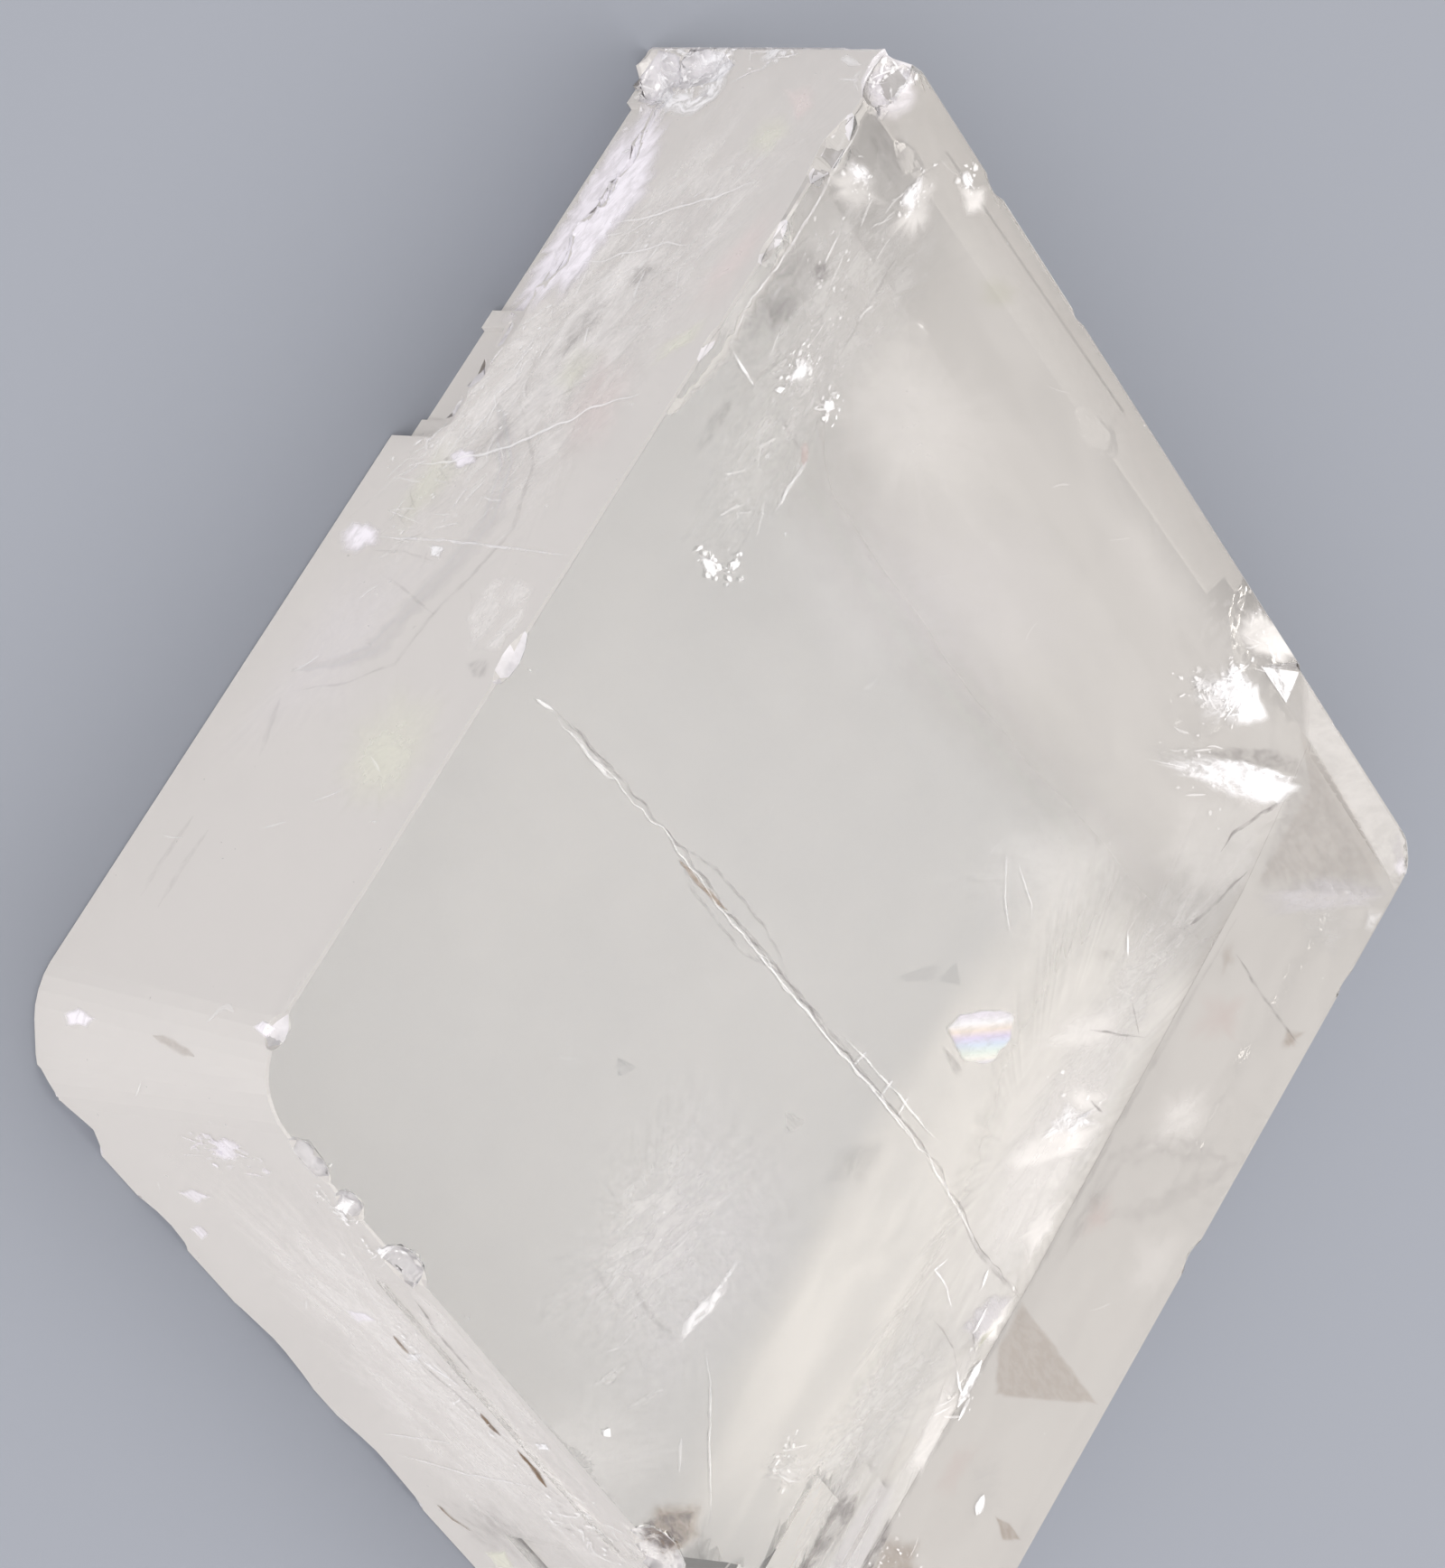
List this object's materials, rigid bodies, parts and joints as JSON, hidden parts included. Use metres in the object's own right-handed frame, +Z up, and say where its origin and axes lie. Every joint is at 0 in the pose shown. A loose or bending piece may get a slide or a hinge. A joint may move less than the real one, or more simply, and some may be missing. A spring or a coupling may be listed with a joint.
{
  "type": "calcite crystal specimen",
  "caption": "Clear calcite cleavage rhomb that lies on its broad face, with slanting flat sides, blunted corners, stepped breaks and chipped edges.",
  "frame": {"origin": "centre of the bounding box's bottom, on the face that the crystal rests on", "axes": "+Z up, square to the broad face; +Y along the broad face's long diagonal; +X along its short diagonal, towards the side that the upper face leans to"},
  "size_m": [0.088, 0.101, 0.0171],
  "materials": {
    "calcite": "clear polished cleavage faces with frosted, cracked and chipped places"
  },
  "bodies": {
    "root": {"calcite_crystal": "calcite"}
  },
  "joints": []
}
